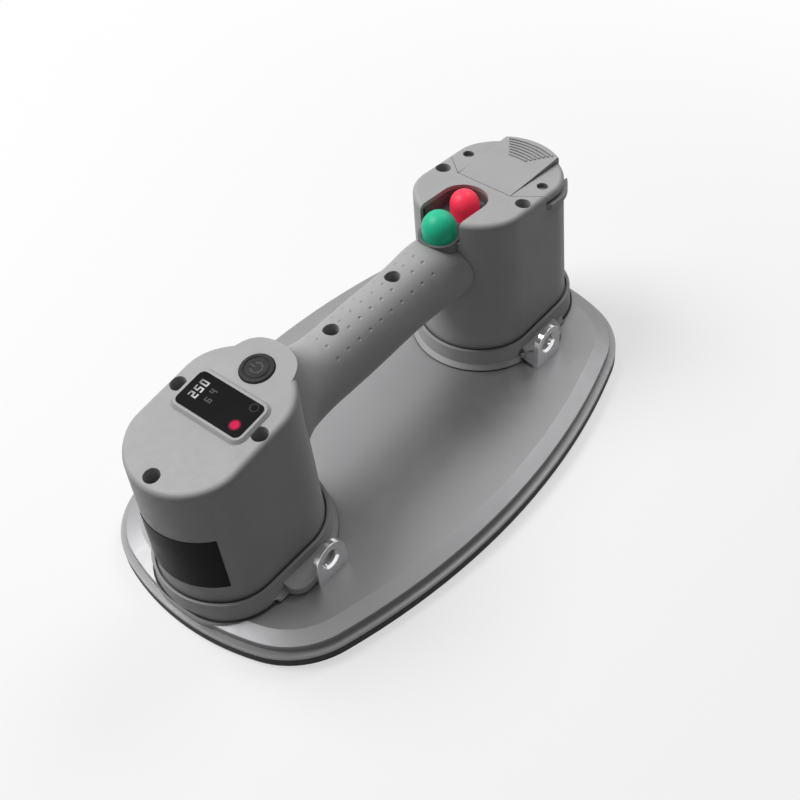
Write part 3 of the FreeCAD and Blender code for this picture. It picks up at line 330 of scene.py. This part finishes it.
def coil_spring(name, node):
    """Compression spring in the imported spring's place, attached to the lifter body."""
    low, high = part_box(node)
    middle_x = (low[0] + high[0]) / 2
    foot = low[2] + wire_radius
    rise = high[2] - low[2] - 2 * wire_radius
    closed_rise = 2 * wire_radius
    points = []
    faces = []
    steps = (open_turns + 2) * turn_steps
    for i in range(steps + 1):
        turns = i / turn_steps
        climb = closed_rise * min(turns, 1.0) + closed_rise * max(turns - open_turns - 1, 0.0)
        climb += (rise - 2 * closed_rise) * min(max(turns - 1.0, 0.0), open_turns) / open_turns
        angle = math.tau * turns
        for j in range(wire_sides):
            round_wire = math.tau * j / wire_sides
            reach = coil_radius + wire_radius * math.cos(round_wire)
            points.append((middle_x + reach * math.cos(angle), reach * math.sin(angle),
                           foot + climb + wire_radius * math.sin(round_wire)))
    for i in range(steps):
        this_ring = i * wire_sides
        next_ring = this_ring + wire_sides
        for j in range(wire_sides):
            k = (j + 1) % wire_sides
            faces.append((this_ring + j, next_ring + j, next_ring + k, this_ring + k))
    faces.append(tuple(reversed(range(wire_sides))))
    faces.append(tuple(steps * wire_sides + j for j in range(wire_sides)))
    mesh = bpy.data.meshes.new(name)
    mesh.from_pydata(points, [], faces)
    mesh.shade_smooth()
    mesh.materials.append(wire_steel)
    spring = bpy.data.objects.new(name, mesh)
    bpy.context.scene.collection.objects.link(spring)
    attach(spring, "lifter")
    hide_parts(node)
    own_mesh(spring)


coil_spring("suction_coil", "suction_spring")
coil_spring("release_coil", "release_spring")

# Power key: a flat round cap of black nylon with a ring groove and a raised on/off sign that
# is pad printed in dull grey. The sign is the usual open ring with a bar.
key_black = finish("power_key_nylon", (0.034, 0.034, 0.036), 0.5, mottle=0.3, drift=0.002,
                   grain=0.0004, depth=0.00003, edge=0.0004, rub=0.5, shine=0.12)
print_grey = finish("dull_print", (0.11, 0.11, 0.115), 0.6, mottle=0.1, drift=0.002,
                    grain=0.0003, shine=0.2)
dress(key_black, "power_button")
deck_slope = 0.13
deck_height = 0.12424
key_x = -0.071
key_top = 0.0009
print_thick = 0.00003
sign_radius = 0.0029
sign_width = 0.0006
sign_gap = 40
sign_bar_low = 0.3 * sign_radius
sign_bar_high = 1.35 * sign_radius
ring_steps = 24


def on_deck(x, y, rise):
    """Matrix of a spot on the display tower's sloping top, rise above it."""
    tilt = Matrix.Rotation(-math.atan(deck_slope), 4, "Y")
    spot = Vector((x, y, deck_height + deck_slope * x))
    return Matrix.Translation(spot + tilt @ Vector((0.0, 0.0, rise))) @ tilt


def flat_piece(name, outlines, thick, surface, place, body):
    """Thin piece made of closed outlines, each drawn flat, given thickness and set at place."""
    points = []
    faces = []
    for outline in outlines:
        start = len(points)
        count = len(outline)
        points += [(px, py, 0.0) for px, py in outline]
        points += [(px, py, thick) for px, py in outline]
        faces.append([start + i for i in reversed(range(count))])
        faces.append([start + count + i for i in range(count)])
        for i in range(count):
            j = (i + 1) % count
            faces.append([start + i, start + j, start + count + j, start + count + i])
    mesh = bpy.data.meshes.new(name)
    mesh.from_pydata(points, [], faces)
    mesh.materials.append(surface)
    piece = bpy.data.objects.new(name, mesh)
    piece.matrix_world = place
    bpy.context.scene.collection.objects.link(piece)
    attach(piece, body)


def bar(x0, x1, y0, y1):
    """Outline of a straight bar."""
    return [(x0, y0), (x1, y0), (x1, y1), (x0, y1)]


def ring_blocks(x, y, radius, width, first, last, steps):
    """Outlines of the blocks that follow a ring from one angle to another, in degrees."""
    inner = radius - width / 2
    outer = radius + width / 2
    blocks = []
    for i in range(steps):
        a = math.radians(first + (last - first) * i / steps)
        b = math.radians(first + (last - first) * (i + 1) / steps)
        corners = ((inner, a), (outer, a), (outer, b), (inner, b))
        blocks.append([(x + reach * math.cos(angle), y + reach * math.sin(angle))
                       for reach, angle in corners])
    return blocks


sign = ring_blocks(0.0, 0.0, sign_radius, sign_width, 90 + sign_gap, 450 - sign_gap, ring_steps)
sign.append(bar(-sign_width / 2, sign_width / 2, sign_bar_low, sign_bar_high))
flat_piece("power_sign", sign, print_thick, print_grey, on_deck(key_x, 0.0, key_top),
           "power_key")

# Display: a clear acrylic window printed black from behind, glued into the raised bezel. Lit
# digits, a dim ring and the red status lamp show through it.
glass_shine = 0.08
glass = finish("display_glass", (0.008, 0.008, 0.009), 0.12, mottle=0.1, drift=0.01, grain=0.002,
               depth=0.000002, edge=0.0002, rub=0.1, spread=0.03, shine=glass_shine)
dress(glass, "display_window")
window_x = -0.0955
glass_top = 0.0012
glass_lift = 0.00003
digit_thick = 0.00002
segments = {"0": "abcdef", "2": "abged", "4": "fgbc", "5": "afgcd", "6": "afgedc"}
segment_reach = 0.27
segment_width = 0.17
large_tall = 0.0050
large_row = 0.0145
large_digits = (("2", -0.0026), ("5", 0.0012), ("0", 0.0050))
small_tall = 0.0040
small_digits = (("6", -0.0012, 0.0062), ("4", 0.0036, 0.0074))
icon_x = 0.0072
icon_y = -0.0150
icon_radius = 0.0021
icon_width = 0.0006
lamp_x = -0.1000
lamp_y = -0.0137
lamp_radius = 0.0036
lamp_glow = 0.0035
segment_glow = 0.02
glow_core = 0.35


def digit(value, x, y, tall):
    """Outlines of a seven segment digit centred at x, y."""
    half = tall / 2
    side = tall * segment_reach
    thick = tall * segment_width
    bars = {
        "a": bar(-side, side, half - thick, half), "d": bar(-side, side, -half, -half + thick),
        "g": bar(-side, side, -thick / 2, thick / 2),
        "b": bar(side - thick, side, 0.0, half), "c": bar(side - thick, side, -half, 0.0),
        "f": bar(-side, -side + thick, 0.0, half), "e": bar(-side, -side + thick, -half, 0.0),
    }
    return [[(x + px, y + py) for px, py in bars[letter]] for letter in segments[value]]


def glow(name, core, rim, radius, glow_strength):
    """Lit patch behind the black window that fades from core to rim over radius."""
    surface = finish(name, rim, 0.15, mottle=0.1, drift=0.01, grain=0.002, depth=0.000002,
                     shine=glass_shine)
    nodes = surface.node_tree.nodes
    join = surface.node_tree.links.new
    away = nodes.new("ShaderNodeVectorMath")
    away.operation = "LENGTH"
    join(nodes.new("ShaderNodeTexCoord").outputs["Object"], away.inputs[0])
    fade = nodes.new("ShaderNodeMapRange")
    fade.interpolation_type = "SMOOTHERSTEP"
    fade.inputs["From Min"].default_value = radius * glow_core
    fade.inputs["From Max"].default_value = radius
    fade.inputs["To Min"].default_value = glow_strength
    fade.inputs["To Max"].default_value = 0.0
    join(away.outputs["Value"], fade.inputs["Value"])
    shader = nodes["Principled BSDF"]
    shader.inputs["Emission Color"].default_value = (*core, 1.0)
    join(fade.outputs["Result"], shader.inputs["Emission Strength"])
    return surface


lit_white = glow("lit_segments", (0.92, 0.94, 0.92), (0.3, 0.3, 0.3), segment_glow, 0.75)
dim_white = glow("dim_segments", (0.5, 0.5, 0.5), (0.05, 0.05, 0.05), segment_glow, 0.12)
lamp_red = glow("status_glow", (0.72, 0.010, 0.085), (0.008, 0.008, 0.009), lamp_glow, 0.95)
window = on_deck(window_x, 0.0, glass_top + glass_lift)
large = []
for value, x in large_digits:
    large += digit(value, x, large_row, large_tall)
flat_piece("digits_large", large, digit_thick, lit_white, window, "lifter")
small = []
for value, x, y in small_digits:
    small += digit(value, x, y, small_tall)
flat_piece("digits_small", small, digit_thick, dim_white, window, "lifter")
ring = ring_blocks(icon_x, icon_y, icon_radius, icon_width, 0, 360, ring_steps)
flat_piece("ring_icon", ring, digit_thick, dim_white, window, "lifter")
disc = []
for i in range(ring_steps):
    bearing = math.tau * i / ring_steps
    disc.append((lamp_radius * math.cos(bearing), lamp_radius * math.sin(bearing)))
lamp_place = on_deck(lamp_x, lamp_y, glass_top + glass_lift)
flat_piece("status_lamp", [disc], digit_thick, lamp_red, lamp_place, "lifter")

# Label: a satin black polyester film, cut square and glued round the outer end of the display
# tower. It is left bare.
film = finish("bare_film", (0.008, 0.008, 0.009), 0.33, mottle=0.12, drift=0.02, grain=0.0015,
              depth=0.00001, edge=0.0003, rub=0.4, shine=0.04)
dress(film, "blank_label")

# Screws and the pump's bracket: zinc plated steel, the zinc coloured darker than bright plating as
# painted shade for the bores. The screws have a hexagon socket and are sunk in bores, where little
# light falls on them. The bracket is sheet with its corners turned up.
# Painted shade: the zinc's colour is kept dark so the screws deep in their bores read as shaded.
shade_dark_zinc = finish("zinc_plate_darkened", (0.30, 0.30, 0.31), 0.42, metal=1.0, mottle=0.15, drift=0.003,
              grain=0.0005, edge=0.0002, rub=0.3)
dress(shade_dark_zinc, "display_screws", "lid_screws", "grip_screws", "rail_screws", "tower_screws",
      "ear_screws", "board_screws", "pump_bracket")

# Battery pack: a nylon case with a thumb ramp on top that slides out between the rails. Four
# round cells in blue shrink sleeve stand in it.
pack_nylon = finish("pack_nylon", (0.395, 0.393, 0.398), 0.56, grain=nylon_grain,
                    edge=nylon_edge, painted_shade=0.8)
sleeve = finish("cell_sleeve", (0.05, 0.13, 0.42), 0.3, mottle=0.08, drift=0.02, grain=0.001)
dress(pack_nylon, "battery_case", "battery_ramp")
dress(sleeve, "battery_cells")

# Battery contacts and valves: brass. The contacts are a block behind the bay's inner wall with two
# blades that reach through it. The valves are turned from bar, one stands on the plate behind the
# pump and one hangs under the red key's guide.
brass = finish("plain_brass", (0.72, 0.52, 0.24), 0.3, metal=1.0, mottle=0.1, drift=0.004)
dress(brass, "battery_contacts", "check_valve", "release_valve")

# Battery bay, switches, display module and pump head: black nylon mouldings that are fixed inside
# the towers and show only when the pack is out, if at all.
black_nylon = finish("black_nylon", (0.030, 0.030, 0.033), 0.5, mottle=0.1, drift=0.02)
dress(black_nylon, "battery_bay", "suction_switch", "display_module", "power_switch", "pump_head")

# Control board and wires: a glass fibre board in green solder mask under the display, and its wires
# in a woven sleeve that runs through the handle to the battery.
solder_mask = finish("solder_mask", (0.015, 0.16, 0.07), 0.35, mottle=0.2, drift=0.004,
                     grain=0.0008)
wire_sleeve = finish("wire_sleeve", (0.04, 0.04, 0.042), 0.8, mottle=0.35, drift=0.0012,
                     grain=0.0006, depth=0.00008)
dress(solder_mask, "control_board")
dress(wire_sleeve, "wire_harness")

# Pump motor and air path: a drawn steel can, a short rubber hose from check valve to pump, a rubber
# pipe under the release valve, and filters of sintered bronze in the plate's ports.
drawn_steel = finish("drawn_can", (0.55, 0.55, 0.57), 0.3, metal=1.0, mottle=0.08, drift=0.01)
hose_rubber = finish("hose_rubber", (0.045, 0.045, 0.045), 0.55, mottle=0.15, drift=0.01)
bronze = finish("sintered_bronze", (0.50, 0.36, 0.20), 0.6, metal=1.0, mottle=0.3, drift=0.0008,
                grain=0.0004, depth=0.00008)
dress(drawn_steel, "pump_motor")
dress(hose_rubber, "suction_hose", "release_pipe")
dress(bronze, "port_filters")

# Floor: a wide sheet of white paper that runs out into plain white away from the object. Light that
# bounces off it onto the object is held back, as it is over the black cloth of a product table.
floor_half = 3.0
floor_drop = -0.0002
paper_white = 0.93
paper_bounce = 0.30
paper_glow = 0.6
glow_near = 0.22
glow_far = 0.60


def choose(nodes, join, rays, first, second, shader_kind):
    """Mix two shaders, each a (level, strength) pair, by the kind of ray that arrives."""
    path = nodes.new("ShaderNodeLightPath")
    factor = path.outputs[rays[0]]
    for ray in rays[1:]:
        most = nodes.new("ShaderNodeMath")
        most.operation = "MAXIMUM"
        join(factor, most.inputs[0])
        join(path.outputs[ray], most.inputs[1])
        factor = most.outputs[0]
    mix = nodes.new("ShaderNodeMixShader")
    join(factor, mix.inputs[0])
    for socket, (level, glow_strength) in ((mix.inputs[1], first), (mix.inputs[2], second)):
        part = nodes.new(shader_kind)
        part.inputs["Color"].default_value = (level, level, level, 1.0)
        if glow_strength is not None:
            part.inputs["Strength"].default_value = glow_strength
        join(part.outputs[0], socket)
    return mix


floor_mesh = bpy.data.meshes.new("floor")
corners = bar(-floor_half, floor_half, -floor_half, floor_half)
floor_mesh.from_pydata([(x, y, floor_drop) for x, y in corners], [], [(0, 1, 2, 3)])
floor = bpy.data.objects.new("floor", floor_mesh)
bpy.context.scene.collection.objects.link(floor)
paper = bpy.data.materials.new("floor_paper")
paper.use_nodes = True
tree = paper.node_tree
looks = ("Is Camera Ray", "Is Glossy Ray")
paper_mix = choose(tree.nodes, tree.links.new, looks, (paper_bounce, None), (paper_white, None),
                   "ShaderNodeBsdfDiffuse")
glowing = choose(tree.nodes, tree.links.new, looks, (1.0, 0.0), (1.0, 1.0), "ShaderNodeEmission")
backlit = tree.nodes.new("ShaderNodeMixShader")
away = tree.nodes.new("ShaderNodeVectorMath")
away.operation = "LENGTH"
tree.links.new(tree.nodes.new("ShaderNodeTexCoord").outputs["Object"], away.inputs[0])
run_out = tree.nodes.new("ShaderNodeMapRange")
run_out.interpolation_type = "SMOOTHSTEP"
run_out.inputs["From Min"].default_value = glow_near
run_out.inputs["From Max"].default_value = glow_far
run_out.inputs["To Min"].default_value = paper_glow
tree.links.new(away.outputs["Value"], run_out.inputs["Value"])
tree.links.new(run_out.outputs["Result"], backlit.inputs[0])
tree.links.new(paper_mix.outputs[0], backlit.inputs[1])
tree.links.new(glowing.outputs[0], backlit.inputs[2])
tree.links.new(backlit.outputs[0], tree.nodes["Material Output"].inputs["Surface"])
floor_mesh.materials.append(paper)

# Studio: a white surround seen by the camera and in reflections, weak as a light, one large soft
# box above and behind the object and a weaker one above its battery end.
surround_fill = 0.13
soft_boxes = {
    "softbox_rear": ((-0.35, 0.80, 1.30), 0.8, 19.0),
    "softbox_end": ((0.85, 0.05, 1.05), 0.6, 4.0),
}
world = bpy.data.worlds.new("studio")
bpy.context.scene.world = world
world.use_nodes = True
tree = world.node_tree
surround = choose(tree.nodes, tree.links.new, (*looks, "Is Transmission Ray"),
                  (1.0, surround_fill), (1.0, 1.0), "ShaderNodeBackground")
tree.links.new(surround.outputs[0], tree.nodes["World Output"].inputs["Surface"])
for name, (spot, size, power) in soft_boxes.items():
    lamp_data = bpy.data.lights.new(name, "AREA")
    lamp_data.size = size
    lamp_data.energy = power
    lamp = bpy.data.objects.new(name, lamp_data)
    lamp.location = spot
    lamp.rotation_euler = Vector(spot).to_track_quat("Z", "Y").to_euler()
    bpy.context.scene.collection.objects.link(lamp)

# Camera: placed as the photograph was taken, looking down from the front left. Its place, turn,
# roll and lens were solved from edges that show there.
aim = Vector((0.02482, 0.00043, 0.0))
turn = math.radians(-45.804)
lift = math.radians(47.912)
roll = math.radians(-6.2605)
reach = 0.73297
sensor_wide = 36.0
lens_long = 59.578
shift_right = -0.01096
shift_up = 0.0117
back = Vector((math.sin(turn) * math.cos(lift), -math.cos(turn) * math.cos(lift), math.sin(lift)))
right = Vector((0, 0, 1)).cross(back).normalized()
upward = back.cross(right)
rolled_right = right * math.cos(roll) + upward * math.sin(roll)
rolled_up = upward * math.cos(roll) - right * math.sin(roll)
camera_data = bpy.data.cameras.new("camera")
camera_data.sensor_width = sensor_wide
camera_data.lens = lens_long
camera_data.shift_x = shift_right
camera_data.shift_y = shift_up
camera = bpy.data.objects.new("camera", camera_data)
axes = Matrix((rolled_right, rolled_up, back)).transposed().to_4x4()
camera.matrix_world = Matrix.Translation(aim + back * reach) @ axes
bpy.context.scene.collection.objects.link(camera)
bpy.context.scene.camera = camera
bpy.context.scene.view_settings.view_transform = "Standard"
